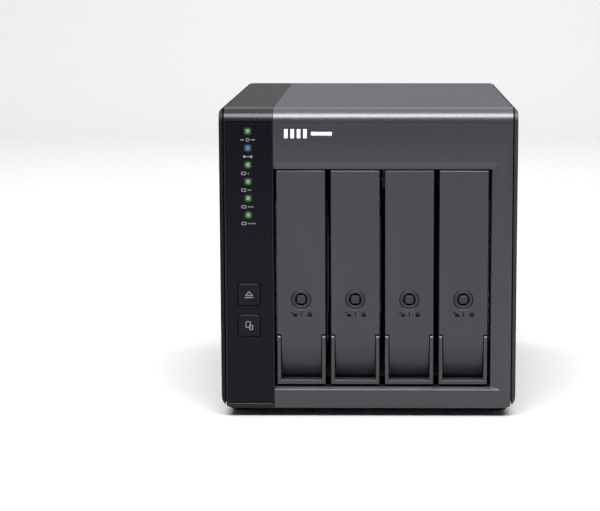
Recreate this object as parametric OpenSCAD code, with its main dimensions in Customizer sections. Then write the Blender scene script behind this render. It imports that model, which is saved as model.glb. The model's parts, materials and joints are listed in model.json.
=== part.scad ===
// Four-bay desktop drive enclosure: a folded metal case on four rubber feet, with four
// lockable drive trays at the front and one large fan at the back.
// Millimetres. +Z is up, the front faces -Y, and the origin is at the middle of the
// footprint, on the surface that the feet stand on.

/* [Case] */
// Width over the side panels
body_w = 160; // [158:0.5:164]
// Depth from the front face to the rear rim
body_d = 219; // [217:0.5:230]
// Height of the case without its feet
body_h = 163.5; // [162:0.5:168]
// Radius of the two lower edges
low_r = 6.5; // [3:0.5:7]
// Radius of the two upper edges
high_r = 3; // [2.5:0.5:4]
// Radius of the top edge along the front
front_r = 8; // [6:0.5:9]
// Thickness of the metal skins
skin = 2; // [1.5:0.1:2.2]
// Width of the groove beside each side panel
groove = 0.6; // [0.4:0.1:0.8]

/* [Feet] */
// Height of a foot
foot_h = 5; // [4:0.5:8]
// Diameter of a foot where it meets the case
foot_d = 14; // [12:0.5:15]
// Distance between the feet across the case
foot_span_x = 140.6; // [130:0.2:142]
// Distance between the feet along the case
foot_span_y = 175; // [150:1:180]

/* [Control strip] */
// Width of the black strip beside the bays
control_w = 26.3; // [25:0.1:26.5]
// Height of the lowest light above the underside of the case
light_low_z = 106; // [100:1:108]
// Spacing of the lights
light_pitch = 9.03; // [8.5:0.01:9.2]
// Size of a light
light_size = 2.2; // [1.6:0.1:2.6]
// Size of a square button
button_size = 12; // [10:0.5:13]
// Travel of a button
button_travel = 1.2; // [0.8:0.1:1.4]

/* [Bays] */
// Spacing of the trays
bay_pitch = 29.3; // [29.2:0.05:29.4]
// Width of a tray front
tray_w = 26.2; // [26.2:0.1:26.6]
// Height of a tray front
tray_h = 117; // [115:0.2:117.2]
// Middle of the four bays, to the right of the middle of the case
bay_mid_x = 7.5; // [7.4:0.1:7.8]
// Height of a tray's lower edge above the underside of the case
tray_low_z = 12.8; // [12.6:0.1:13.6]

/* [Handles and locks] */
// Height of a tray handle
handle_h = 27.4; // [26:0.2:29]
// Thickness of a handle's side arms
arm_w = 1.9; // [1.6:0.1:2]
// Height of a handle's grip bar
grip_h = 2.4; // [2.2:0.1:2.6]
// Depth of the grip bar
grip_d = 4.6; // [4:0.1:4.8]
// Height of the lock above the tray's lower edge
lock_up = 46.8; // [44:0.2:50]
// Diameter of the lock's face
lock_d = 10.5; // [9:0.1:11]

/* [Fan] */
// Side of the square fan frame
fan_size = 120; // [119:0.5:120]
// Thickness of the fan frame
fan_depth = 25; // [15:1:25]
// Distance between the fan's screws
fan_hole_span = 105; // [105:0.5:105]
// Number of blades
fan_blades = 7; // [5:1:9]

/* [Hidden] */
$fn = 96;

bite = 1;                                   // how far a cutter runs past what it cuts
bays = [1, 2, 3, 4];
z0 = foot_h;                                // underside of the case
z1 = foot_h + body_h;                       // top of the case
y0 = -body_d / 2;                           // front face
y1 = body_d / 2;                            // rear rim
x1 = body_w / 2;                            // outside of the right panel
panel_in = x1 - skin;                       // inner face of a side panel
core_x = panel_in - groove;                 // sides of the front, top and rear parts
nose_y = y0 + front_r;                      // where the front parts end and the skins begin

// Bays
tray_z = z0 + tray_low_z;
tray_top = tray_z + tray_h;
bay_gap = 1.75;                             // gap between the outer trays and the frame
bay_x0 = bay_mid_x - 1.5 * bay_pitch - tray_w / 2 - bay_gap;
bay_x1 = bay_mid_x + 1.5 * bay_pitch + tray_w / 2 + bay_gap;
bay_z0 = tray_z - 1.3;
bay_z1 = tray_top + 0.8;
bevel_side = 5.5;                           // width of the slope on the right of the bays
bevel_top = 4.5;                            // width of the slope above the bays
bevel_low = 1.4;                            // width of the slope below the bays
bevel_deep = 2;                             // how deep the slopes go
seam_x = bay_x0 + 0.2;                      // seam between the control strip and the grey parts
control_x0 = -core_x;

// Tray
tray_wall = 1.6;
tray_face = 3;                              // thickness of the tray front's plate
tray_box = 21.5;                            // depth of the tray front
tray_y = y0 + bevel_deep;                   // the tray faces lie back behind the slopes
tray_back = tray_y + tray_box;
pivot_r = 2.4;                              // radius of a handle arm's upper end
pivot_y = tray_y + pivot_r;                 // handle pivot
pivot_z = tray_z + handle_h - pivot_r;
scoop_r = 40;                               // curve of the finger scoop
pocket_d = 12;                              // depth of the finger pocket behind the handle
scoop_top = pivot_z + pivot_r + 0.2;
slot_z1 = tray_z + 6.9;                     // upper edge of the finger slot
lock_z = tray_z + lock_up;
pin_r = 1.1;                                // handle pivot pin
lock_len = 10.5;

// Drive, a standard 3.5 inch size standing on its long edge
drive_t = 26.1;
drive_w = 101.6;
drive_l = 147;
drive_y = tray_back + 2;
drive_z = tray_z + tray_h / 2 - drive_w / 2;
drive_end = drive_y + drive_l;
plug_z0 = drive_z + 12;                     // lower end of the drive's socket
plug_h = 42;                                // height of the drive's socket
plug_gap = 4.5;                             // from the drive's end to the backplane
rail_t = 3;                                 // thickness of a carrier rail
rail_w = 20;
screw_r = 1.6;                              // side screws of a drive
keel_w = 6;
keel_h = 3.2;
guide_gap = 0.4;
guide_t = 1.5;

// Cage
wall_t = 1.5;
cage_y0 = y0 + 8.5;
cage_y1 = drive_end + 8;
cage_low = drive_z - rail_t - keel_h - 0.3; // top face of the lower guide plate
cage_high = drive_z + drive_w + rail_t + keel_h + 0.3;
cage_left = bay_x0 - 0.4;                   // inner face of the left wall
cage_right = bay_x1 + 0.4;
window_start = 20;                          // first cooling window in a cage wall
window_step = 22;                           // spacing of the cooling windows
window_slot = 12;                           // width of a cooling window

// Rear
rear_out = y1 - 2.5;                        // outer face of the rear panel
rear_t = 1.5;
rear_in = rear_out - rear_t;
rear_x = core_x - 1.7;                      // sides of the rear panel
fan_x = bay_mid_x;
fan_z = z0 + 77;
fan_y1 = rear_in;
fan_y0 = fan_y1 - fan_depth;
fan_bore_r = fan_size / 2 - 2;
io_x = -65;                                 // middle of the column of ports
power_z = z0 + 140;
mode_z = z0 + 110;
usb_z = z0 + 76;
dc_z = z0 + 46;
security_z = z0 + 22;
board_x = io_x + 5.8;                       // outer face of the main board
board_t = 1.6;

// Control strip
light_x = -64.6;
blue_index = 4;
button_z = [z0 + 62.6, z0 + 45.6];
window_t = 1.6;
window_y = y0 + 0.5;                        // the glossy window lies a little back
window_x0 = control_x0 + 1;
window_x1 = seam_x - 0.8;
window_z0 = z0 + 2.5;
window_z1 = z0 + 155.3;
window_gap = 1.3;                           // open groove above the window
window_clear = 0.1;                         // play round the window in its recess
front_board_y = y0 + 11;

function bay_x(i) = bay_mid_x + (i - 2.5) * bay_pitch;
function light_z(k) = z0 + light_low_z + k * light_pitch;

// ---------------------------------------------------------------- shared shapes

// A box given by its two corners
module span(low, high) {
    translate(low) cube(high - low);
}

// A round bar along Y
module rod_y(x, z, r, from, to) {
    translate([x, from, z]) rotate([-90, 0, 0]) cylinder(r = r, h = to - from);
}

// A round bar along X
module rod_x(y, z, r, from, to) {
    translate([from, y, z]) rotate([0, 90, 0]) cylinder(r = r, h = to - from);
}

// Quarter-round cutter for an edge along Z: what is left outside a rounded corner
module corner(r) {
    difference() {
        translate([-bite, -bite]) square(r + bite);
        translate([r, r]) circle(r);
        translate([r, -bite]) square([r, r + 2 * bite]);
        translate([-bite, r]) square([r + 2 * bite, r]);
    }
}

// The case seen from the front, with its rounded edges
module front_outline() {
    translate([-x1, z0]) difference() {
        square([body_w, body_h]);
        corner(low_r);
        translate([body_w, 0]) mirror([1, 0]) corner(low_r);
        translate([0, body_h]) mirror([0, 1]) corner(high_r);
        translate([body_w, body_h]) rotate(180) corner(high_r);
    }
}

// The case seen from the side
module side_outline() {
    translate([y0, z0]) difference() {
        square([body_d, body_h]);
        translate([0, body_h]) mirror([0, 1]) corner(front_r);
    }
}

// The whole case as a solid, cut to the lengths between from and to
module envelope(from, to) {
    intersection() {
        translate([0, to, 0]) rotate([90, 0, 0]) linear_extrude(to - from) front_outline();
        translate([-x1, 0, 0]) rotate([90, 0, 90]) linear_extrude(body_w) side_outline();
    }
}

// ---------------------------------------------------------------- case

// Cutter for the bay opening with its sloping edges
module bay_cutter() {
    span([bay_x0, y0 - bite, bay_z0], [bay_x1, nose_y + bite, bay_z1]);
    hull() {
        span([bay_x0, y0 - 0.01, bay_z0 - bevel_low],
             [bay_x1 + bevel_side, y0, bay_z1 + bevel_top]);
        span([bay_x0, y0 + bevel_deep, bay_z0], [bay_x1, y0 + bevel_deep + 0.01, bay_z1]);
    }
}

module emblem_bars(from, to) {
    for (k = [0:3])
        span([seam_x + 6 + 3.4 * k, from, z0 + 147.4], [seam_x + 8 + 3.4 * k, to, z0 + 152.3]);
    span([seam_x + 20.4, from, z0 + 148.9], [seam_x + 31.6, to, z0 + 150.8]);
}

module front_bezel() {
    color([0.29, 0.29, 0.31]) difference() {
        intersection() {
            envelope(y0, nose_y);
            span([seam_x, y0 - bite, z0], [core_x, nose_y, z1 + bite]);
        }
        // hollow behind the front plate, open to the back
        span([seam_x + 2, y0 + 3, bay_z1 + 6], [core_x - 2, nose_y + bite, z1 - front_r]);
        span([bay_x1 + 4, y0 + 3, z0 + 4], [core_x - 2, nose_y + bite, bay_z1 + 4]);
        bay_cutter();
        emblem_bars(y0 - bite, y0 + 0.3);
    }
}

module emblem() {
    color("white") emblem_bars(y0, y0 + 0.3);
}

// Square holes for the lights
module light_holes(from, to, size) {
    for (k = [0:5])
        span([light_x - size / 2, from, light_z(k) - size / 2],
             [light_x + size / 2, to, light_z(k) + size / 2]);
}

// Square holes or caps for the two buttons
module button_block(z, size, from, to) {
    r = 1.5;
    difference() {
        span([light_x - size / 2, from, z - size / 2], [light_x + size / 2, to, z + size / 2]);
        for (a = [0, 90, 180, 270])
            translate([light_x, to, z]) rotate([90, 0, 0]) rotate(a)
                translate([-size / 2, -size / 2, -bite])
                    linear_extrude(to - from + 2 * bite) corner(r);
    }
}

module control_bezel() {
    color([0.10, 0.10, 0.11]) difference() {
        intersection() {
            envelope(y0, nose_y);
            span([control_x0, y0 - bite, z0], [seam_x, nose_y, z1 + bite]);
        }
        span([window_x0, y0 - bite, window_z0],
             [window_x1, window_y + window_t, window_z1 + window_gap]);
        span([control_x0 + 2, window_y + window_t, window_z0 + 3],
             [seam_x - 2, nose_y + bite, window_z1 - 3]);
    }
}

module control_window() {
    color([0.13, 0.14, 0.16]) difference() {
        span([window_x0 + window_clear, window_y, window_z0 + window_clear],
             [window_x1 - window_clear, window_y + window_t, window_z1]);
        light_holes(window_y - bite, window_y + window_t + bite, light_size);
        for (z = button_z) button_block(z, button_size + 0.6, window_y - bite,
                                        window_y + window_t + bite);
    }
}

module light_pipe(k) {
    span([light_x - light_size / 2, window_y, light_z(k) - light_size / 2],
         [light_x + light_size / 2, front_board_y, light_z(k) + light_size / 2]);
}

module green_light_pipes() {
    color("limegreen") for (k = [0:5]) if (k != blue_index) light_pipe(k);
}

module blue_light_pipe() {
    color("royalblue") light_pipe(blue_index);
}

module control_button(z) {
    color([0.06, 0.06, 0.07]) union() {
        button_block(z, button_size, y0 + 0.2, y0 + 5);
        rod_y(light_x, z, 2, y0 + 4, front_board_y - button_travel - 0.4);
    }
}

module eject_button() { control_button(button_z[0]); }
module copy_button() { control_button(button_z[1]); }

module top_cover() {
    color([0.44, 0.44, 0.46]) difference() {
        intersection() {
            envelope(nose_y, y1);
            span([seam_x, nose_y, z1 - front_r], [core_x, y1, z1]);
        }
        span([seam_x - bite, nose_y - bite, z0], [core_x - 1, y1 + bite, z1 - skin]);
    }
}

module top_strip() {
    color([0.35, 0.35, 0.37]) difference() {
        intersection() {
            envelope(nose_y, y1);
            span([control_x0, nose_y, z1 - front_r], [seam_x, y1, z1]);
        }
        span([control_x0 + 1, nose_y - bite, z0], [seam_x + bite, y1 + bite, z1 - skin]);
    }
}

module side_panel() {
    difference() {
        intersection() {
            envelope(y0, y1);
            span([panel_in, y0, z0], [x1, y1, z1]);
        }
        // low pads for the board and cage screws on the inner face
        span([panel_in - bite, y0 + 12, z0 + 12], [panel_in + 0.5, y1 - 12, z1 - 12]);
    }
}

module right_side_panel() { color([0.27, 0.27, 0.29]) side_panel(); }
module left_side_panel() { color([0.12, 0.12, 0.13]) mirror([1, 0, 0]) side_panel(); }

module base_plate() {
    color([0.27, 0.27, 0.29]) difference() {
        intersection() {
            envelope(nose_y, y1);
            span([-panel_in, nose_y, z0], [panel_in, y1, z0 + low_r]);
        }
        span([-core_x + 1.6, nose_y - bite, z0 + skin], [core_x - 1.6, y1 + bite, z1]);
        for (x = [-1, 1], y = [-1, 1])
            translate([x * foot_span_x / 2, y * foot_span_y / 2, z0 - bite])
                cylinder(r = 2, h = skin + 2 * bite);
    }
}

module feet() {
    color([0.12, 0.12, 0.12]) for (x = [-1, 1], y = [-1, 1])
        translate([x * foot_span_x / 2, y * foot_span_y / 2, 0]) union() {
            cylinder(r1 = foot_d / 2 - 0.7, r2 = foot_d / 2, h = foot_h);
            cylinder(r = 2, h = foot_h + skin);
        }
}

// ---------------------------------------------------------------- cage and boards

module cage_wall(x) {
    difference() {
        span([x, cage_y0, z0 + skin], [x + wall_t, cage_y1, z1 - skin]);
        for (k = [0:5])
            translate([0, cage_y0 + window_start + window_step * k, 0])
                span([x - bite, 0, z0 + 30], [x + wall_t + bite, window_slot, z0 + 110]);
    }
}

module cage_left_wall() { color([0.7, 0.7, 0.72]) cage_wall(cage_left - wall_t); }
module cage_right_wall() { color([0.7, 0.7, 0.72]) cage_wall(cage_right); }

// A plate with four grooves that the tray keels run in
module guides(plate, sign) {
    low = min(plate, plate - sign * guide_t);
    rib = min(plate, plate + sign * (keel_h - 0.6));
    span([cage_left, tray_back + 1, low], [cage_right, cage_y1, low + guide_t]);
    for (i = bays, s = [-1, 1])
        translate([bay_x(i) + s * (keel_w / 2 + guide_gap + 1), 0, 0])
            span([-1, tray_back + 2, rib], [1, cage_y1 - 8, rib + keel_h - 0.6]);
}

module cage_bottom_guides() { color([0.2, 0.2, 0.21]) guides(cage_low, 1); }
module cage_top_guides() { color([0.2, 0.2, 0.21]) guides(cage_high, -1); }

module backplane_board() {
    color([0.07, 0.30, 0.16]) difference() {
        span([cage_left, drive_end + plug_gap, cage_low + 1],
             [cage_right, drive_end + plug_gap + board_t, cage_high - 1]);
        for (i = [1:3], k = [0:2])
            span([bay_x(i) + bay_pitch / 2 - 4, drive_end, drive_z + 8 + 32 * k],
                 [bay_x(i) + bay_pitch / 2 + 4, cage_y1, drive_z + 32 + 32 * k]);
    }
}

module sata_connectors() {
    color([0.08, 0.08, 0.09]) for (i = bays)
        span([bay_x(i) - drive_t / 2 + 1.8, drive_end - 3, plug_z0 + 0.6],
             [bay_x(i) - drive_t / 2 + 7.2, drive_end + plug_gap, plug_z0 + plug_h - 0.6]);
}

module main_board() {
    color([0.07, 0.30, 0.16]) difference() {
        span([board_x, y0 + 24, z0 + 12], [board_x + board_t, rear_in - 1, z0 + 150]);
        board_posts(board_x - bite, board_x + board_t + bite, 1.6);
    }
}

module board_posts(from, to, r) {
    for (y = [y0 + 32, rear_in - 10], z = [z0 + 17, z0 + 144])
        rod_x(y, z, r, from, to);
}

module board_screws() {
    color("silver") union() {
        board_posts(board_x, cage_left - wall_t, 1.6);
        board_posts(board_x - 1.6, board_x, 3);
    }
}

module front_board() {
    color([0.07, 0.30, 0.16])
        span([window_x0 + 1.5, front_board_y, z0 + 36],
             [seam_x - 3.4, front_board_y + board_t, z0 + 157]);
}

// ---------------------------------------------------------------- rear

module port_holes(from, to) {
    rod_y(io_x, power_z, 5.6, from, to);
    span([io_x - 5.2, from, mode_z - 9], [io_x + 5.2, to, mode_z + 9]);
    usb_shape(from, to, 0.25);
    rod_y(io_x, dc_z, 4.6, from, to);
    span([io_x - 3.5, from, security_z - 1.5], [io_x + 3.5, to, security_z + 1.5]);
}

module rear_panel() {
    color([0.16, 0.16, 0.17]) difference() {
        span([-rear_x, rear_in, z0 + skin + 0.1], [rear_x, rear_out, z1 - skin - 0.1]);
        rod_y(fan_x, fan_z, fan_bore_r, rear_in - bite, rear_out + bite);
        port_holes(rear_in - bite, rear_out + bite);
        fan_bolts(rear_in - bite, rear_out + bite, 1.9);
        panel_bolts(rear_in - bite, rear_out + bite, 1.5);
        for (k = [0:11])
            span([fan_x - 55 + 9.6 * k, rear_in - bite, z0 + 144],
                 [fan_x - 51 + 9.6 * k, rear_out + bite, z0 + 156]);
    }
}

module fan_bolts(from, to, r) {
    for (x = [-1, 1], z = [-1, 1])
        rod_y(fan_x + x * fan_hole_span / 2, fan_z + z * fan_hole_span / 2, r, from, to);
}

module panel_bolts(from, to, r) {
    for (x = [-core_x + 4.5, core_x - 5], z = [z0 + 8, z1 - 7]) rod_y(x, z, r, from, to);
}

module panel_screws() {
    color("silver") union() {
        panel_bolts(rear_in - 4, rear_out, 1.5);
        panel_bolts(rear_out, rear_out + 1.6, 2.8);
    }
}

module fan_screws() {
    color("silver") union() {
        fan_bolts(fan_y1 - 8, rear_out + 1, 1.9);
        fan_bolts(rear_out + 1, rear_out + 2.5, 3.6);
    }
}

module fan_guard() {
    color([0.1, 0.1, 0.1]) difference() {
        union() {
            for (r = [10, 22, 34, 46, 58])
                difference() {
                    rod_y(fan_x, fan_z, r, rear_out, rear_out + 1);
                    rod_y(fan_x, fan_z, r - 2, rear_out - bite, rear_out + 2);
                }
            for (a = [45, 135])
                translate([fan_x, rear_out, fan_z]) rotate([0, a, 0])
                    span([-fan_hole_span * 0.72, 0, -1.2], [fan_hole_span * 0.72, 1, 1.2]);
            fan_bolts(rear_out, rear_out + 1, 4.6);
        }
        fan_bolts(rear_out - bite, rear_out + 2, 1.9);
    }
}

module fan_frame() {
    color([0.09, 0.09, 0.1]) union() {
        difference() {
            span([fan_x - fan_size / 2, fan_y0, fan_z - fan_size / 2],
                 [fan_x + fan_size / 2, fan_y1, fan_z + fan_size / 2]);
            rod_y(fan_x, fan_z, fan_bore_r, fan_y0 - bite, fan_y1 + bite);
            fan_bolts(fan_y1 - 8, fan_y1 + bite, 1.9);
        }
        rod_y(fan_x, fan_z, 20, fan_y1 - 3, fan_y1);
        rod_y(fan_x, fan_z, 2, fan_y0 + 4, fan_y1 - 2);
        for (a = [0, 90, 180, 270])
            translate([fan_x, fan_y1 - 3, fan_z]) rotate([0, a + 20, 0])
                span([18, 0.2, -1.5], [fan_bore_r + 1.2, 2.6, 1.5]);
    }
}

module fan_rotor() {
    color([0.13, 0.13, 0.14]) difference() {
        union() {
            rod_y(fan_x, fan_z, 20, fan_y0 + 1, fan_y1 - 4);
            intersection() {
                rod_y(fan_x, fan_z, fan_bore_r - 1.5, fan_y0 + 2, fan_y1 - 4.5);
                for (k = [1:fan_blades])
                    translate([fan_x, (fan_y0 + fan_y1) / 2 - 1.2, fan_z])
                        rotate([0, k * 360 / fan_blades, 0]) rotate([38, 0, 0])
                            span([18, -1, -20], [fan_bore_r, 1, 20]);
            }
        }
        rod_y(fan_x, fan_z, 2.06, fan_y0 + 3, fan_y1);
    }
}

module rear_power_button() {
    color([0.08, 0.08, 0.09]) union() {
        rod_y(io_x, power_z, 5.3, rear_in - 3, rear_out + 1.8);
        rod_y(io_x, power_z, 2, rear_in - 9, rear_in - 3);
    }
}

module mode_switch_body() {
    color([0.75, 0.75, 0.72]) difference() {
        union() {
            span([io_x - 5, rear_in - 6, mode_z - 8.8], [io_x + 5, rear_out - 0.4, mode_z + 8.8]);
            span([io_x - 5, rear_in - 6, mode_z - 8.8], [board_x, rear_in - 1, mode_z + 8.8]);
        }
        for (k = [0:2])
            span([io_x - 3, rear_in - 2, mode_z - 7.6 + 5.2 * k],
                 [io_x + 3, rear_out + bite, mode_z - 2.8 + 5.2 * k]);
    }
}

module mode_slider(k) {
    color("white") span([io_x - 2.7, rear_in - 1.8, mode_z - 7.3 + 5.2 * k],
                        [io_x + 0.3, rear_out - 0.2, mode_z - 3.1 + 5.2 * k]);
}

module mode_slider_1() { mode_slider(0); }
module mode_slider_2() { mode_slider(1); }
module mode_slider_3() { mode_slider(2); }

// The stadium shape of a USB-C mouth, standing upright
module usb_shape(from, to, grow) {
    r = 1.6 + grow;
    reach = 2.9;
    rod_y(io_x, usb_z - reach, r, from, to);
    rod_y(io_x, usb_z + reach, r, from, to);
    span([io_x - r, from, usb_z - reach], [io_x + r, to, usb_z + reach]);
}

module usb_c_port() {
    color("silver") union() {
        difference() {
            usb_shape(rear_in - 8, rear_out, 0);
            usb_shape(rear_in - 6.5, rear_out + bite, -0.35);
        }
        span([io_x - 0.35, rear_in - 7, usb_z - 3.3], [io_x + 0.35, rear_out - 0.6, usb_z + 3.3]);
        // base that holds the socket off the board
        span([io_x + 1.3, rear_in - 8, usb_z - 2.8], [board_x, rear_in - 2, usb_z + 2.8]);
    }
}

module dc_jack() {
    color([0.07, 0.07, 0.08]) difference() {
        union() {
            rod_y(io_x, dc_z, 4.4, rear_in - 6, rear_out);
            span([board_x - 8, rear_in - 14, dc_z - 5], [board_x, rear_in - 5, dc_z + 5]);
        }
        rod_y(io_x, dc_z, 2.75, rear_in - 9, rear_out + bite);
    }
    color("silver") rod_y(io_x, dc_z, 1.05, rear_in - 9.5, rear_out - 1);
}

// ---------------------------------------------------------------- trays

// The tray front with its lock bore, finger scoop and finger slot, centred on x = 0
module tray_front_shape() {
    h = tray_w / 2;
    in_x = h - arm_w - 0.3;
    back = pivot_y + pivot_r + 0.3;
    pocket = tray_y + pocket_d;
    difference() {
        span([-h, tray_y, scoop_top], [h, tray_back, tray_top]);
        span([-h + tray_wall, tray_y + tray_face, scoop_top - bite],
             [h - tray_wall, tray_back + bite, tray_top - tray_wall]);
        rod_y(0, lock_z, lock_d / 2 + 0.1, tray_y - bite, tray_y + 20);
        for (s = [-1, 1]) arm_space(s, in_x, h);
    }
    difference() {
        rod_y(0, lock_z, lock_d / 2 + 1.6, tray_y + 1, tray_y + lock_len - 0.5);
        rod_y(0, lock_z, lock_d / 2 + 0.1, tray_y - bite, tray_y + 20);
    }
    // scoop: a curved plate between the handle's arms, with the pivot pins on its sides
    difference() {
        intersection() {
            span([-in_x, tray_y, slot_z1], [in_x, pocket + 1, scoop_top + 0.5]);
            rod_x(tray_y + scoop_r, scoop_top, scoop_r, -h, h);
        }
        rod_x(tray_y + scoop_r, scoop_top, scoop_r - 2.4, -in_x + 2, in_x - 2);
    }
    rod_x(pivot_y, pivot_z, pin_r, -h + 0.3, h - 0.3);
    // lower box behind the handle, and the wall that closes its finger pocket
    span([-h + 0.5, pocket, tray_z + 1], [h - 0.5, pocket + tray_wall, scoop_top + 1]);
    difference() {
        span([-h, back, tray_z + 0.4], [h, tray_back, scoop_top]);
        span([-h + tray_wall, back - bite, tray_z + 0.4 + tray_wall],
             [h - tray_wall, tray_back - tray_wall, scoop_top + bite]);
    }
}

// Room for the round end of a handle arm
module arm_space(s, in_x, h) {
    rod_x(pivot_y, pivot_z, pivot_r + 0.3, s > 0 ? in_x : -h - bite, s > 0 ? h + bite : -in_x);
}

module tray_handle_shape() {
    h = tray_w / 2;
    difference() {
        union() {
            for (s = [-1, 1]) translate([s * (h - arm_w / 2), 0, 0]) union() {
                rod_x(pivot_y, pivot_z, pivot_r, -arm_w / 2, arm_w / 2);
                span([-arm_w / 2, tray_y, tray_z], [arm_w / 2, pivot_y + pivot_r, pivot_z]);
            }
            span([-h, tray_y, tray_z], [h, tray_y + grip_d, tray_z + grip_h]);
        }
        rod_x(pivot_y, pivot_z, pin_r + 0.08, -h - bite, h + bite);
    }
}

module tray_lock_shape() {
    post = 2.25;
    difference() {
        rod_y(0, lock_z, lock_d / 2, tray_y + 0.15, tray_y + lock_len);
        difference() {
            rod_y(0, lock_z, 3.45, tray_y - bite, tray_y + 5);
            span([-post, tray_y - bite, lock_z - post], [post, tray_y + 6, lock_z + post]);
        }
    }
    span([-2.5, tray_y + lock_len, lock_z - 2.5], [2.5, tray_y + lock_len + 1.5, lock_z + 9]);
}

module tray_carrier_shape() {
    difference() {
        span([-tray_w / 2 + 0.4, tray_back, drive_z - rail_t],
             [tray_w / 2 - 0.4, drive_y, drive_z + drive_w + rail_t]);
        for (k = [0:5])
            translate([0, 0, drive_z + 8 + 15 * k])
                span([-8, tray_back - bite, 0], [8, drive_y + bite, 10]);
    }
    for (s = [0, 1]) {
        z = s == 0 ? drive_z - rail_t : drive_z + drive_w;
        keel = s == 0 ? z - keel_h : z + rail_t;
        difference() {
            union() {
                span([-rail_w / 2, drive_y, z], [rail_w / 2, drive_end, z + rail_t]);
                span([-keel_w / 2, drive_y, keel], [keel_w / 2, drive_end - 1, keel + keel_h]);
            }
            screw_holes(screw_r, cage_low - bite, cage_high + bite);
            screw_holes(3.4, s == 0 ? keel - bite : z + 1.6, s == 0 ? z + 1.4 : keel + keel_h + bite);
        }
    }
}

// The drive's side screws: one near the front and one near the back, above and below
module screw_holes(r, from, to) {
    for (y = [drive_y + 28, drive_y + 130])
        translate([0, y, from]) cylinder(r = r, h = to - from);
}

module drive_screws_shape() {
    low = drive_z - rail_t;
    high = drive_z + drive_w + rail_t;
    screw_holes(screw_r, low + 1.4, drive_z + 4);
    screw_holes(3, low, low + 1.4);
    screw_holes(screw_r, drive_z + drive_w - 4, high - 1.4);
    screw_holes(3, high - 1.4, high);
}

module drive_shape() {
    h = drive_t / 2;
    top = drive_z + drive_w;
    difference() {
        span([-h, drive_y, drive_z], [h, drive_end, drive_z + drive_w]);
        // recess for the circuit board, notch for the sockets and a rim for the lid
        span([-h - bite, drive_y + 6, drive_z + 6], [-h + 8, drive_end - 10, top - 6]);
        span([-h + 1.2, drive_end - 4, plug_z0], [-h + 7.8, drive_end + bite, plug_z0 + plug_h]);
        for (z = [[drive_z - bite, drive_z + 3], [top - 3, top + bite]])
            span([h - 1.5, drive_y - bite, z[0]], [h + bite, drive_end + bite, z[1]]);
        screw_holes(screw_r, drive_z - bite, drive_z + 4);
        screw_holes(screw_r, top - 4, top + bite);
    }
    // circuit board
    span([-h + 3, drive_y + 6, drive_z + 6], [-h + 4.6, drive_end - 10, top - 6]);
}

module tray_front(i) { color([0.29, 0.29, 0.31]) translate([bay_x(i), 0, 0]) tray_front_shape(); }
module tray_carrier(i) { color([0.6, 0.6, 0.62]) translate([bay_x(i), 0, 0]) tray_carrier_shape(); }
module tray_handle(i) { color([0.29, 0.29, 0.31]) translate([bay_x(i), 0, 0]) tray_handle_shape(); }
module tray_lock(i) { color([0.2, 0.2, 0.21]) translate([bay_x(i), 0, 0]) tray_lock_shape(); }
module drive(i) { color([0.75, 0.75, 0.77]) translate([bay_x(i), 0, 0]) drive_shape(); }
module drive_screws(i) { color("silver") translate([bay_x(i), 0, 0]) drive_screws_shape(); }

front_bezel();
control_bezel();
control_window();
top_cover();
top_strip();
left_side_panel();
right_side_panel();
base_plate();
rear_panel();
feet();
cage_left_wall();
cage_right_wall();
cage_top_guides();
cage_bottom_guides();
backplane_board();
sata_connectors();
main_board();
front_board();
board_screws();
green_light_pipes();
blue_light_pipe();
emblem();
eject_button();
copy_button();
rear_power_button();
mode_switch_body();
mode_slider_1();
mode_slider_2();
mode_slider_3();
usb_c_port();
dc_jack();
panel_screws();
fan_frame();
fan_rotor();
fan_guard();
fan_screws();
for (i = bays) {
    tray_front(i);
    tray_carrier(i);
    tray_handle(i);
    tray_lock(i);
    drive(i);
    drive_screws(i);
}
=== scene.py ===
"""Looks of the four-bay drive enclosure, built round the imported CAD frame. Metres, the CAD's own axes."""

import json
import math

import bmesh
import bpy
from mathutils import Matrix, Vector

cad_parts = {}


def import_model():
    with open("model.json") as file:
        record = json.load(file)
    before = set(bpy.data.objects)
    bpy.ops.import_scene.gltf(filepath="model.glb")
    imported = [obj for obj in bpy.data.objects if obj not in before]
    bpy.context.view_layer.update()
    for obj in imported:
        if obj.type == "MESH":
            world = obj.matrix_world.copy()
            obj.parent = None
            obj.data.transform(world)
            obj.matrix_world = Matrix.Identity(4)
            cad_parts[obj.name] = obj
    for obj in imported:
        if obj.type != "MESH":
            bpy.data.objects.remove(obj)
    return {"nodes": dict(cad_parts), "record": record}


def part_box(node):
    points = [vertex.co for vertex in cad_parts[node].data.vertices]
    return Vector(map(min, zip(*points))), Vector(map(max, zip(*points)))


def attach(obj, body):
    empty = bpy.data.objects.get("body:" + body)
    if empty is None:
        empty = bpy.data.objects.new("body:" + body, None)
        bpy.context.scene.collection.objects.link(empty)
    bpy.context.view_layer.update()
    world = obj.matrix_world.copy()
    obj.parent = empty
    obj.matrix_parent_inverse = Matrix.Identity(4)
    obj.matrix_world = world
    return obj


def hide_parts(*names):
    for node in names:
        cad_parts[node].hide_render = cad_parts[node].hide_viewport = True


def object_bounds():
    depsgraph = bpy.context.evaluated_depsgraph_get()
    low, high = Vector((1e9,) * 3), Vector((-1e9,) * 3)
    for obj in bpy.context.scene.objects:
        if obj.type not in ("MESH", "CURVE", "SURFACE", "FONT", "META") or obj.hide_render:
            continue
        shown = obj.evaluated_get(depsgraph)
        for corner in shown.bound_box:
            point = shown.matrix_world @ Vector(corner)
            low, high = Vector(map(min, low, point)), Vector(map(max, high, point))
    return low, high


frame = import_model()
CAD_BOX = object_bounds()
RECORD = frame["record"]

MM = 0.001
BAYS = (1, 2, 3, 4)
CASE_LOW, CASE_HIGH = CAD_BOX
FRONT_Y = CASE_LOW.y
TOP_Z = CASE_HIGH.z
UNDERSIDE_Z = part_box("front_bezel")[0].z
SHARP = 32               # degrees: edges above this stay sharp in the shading, or are rounded


# ------------------------------------------------------------------ materials

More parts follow.
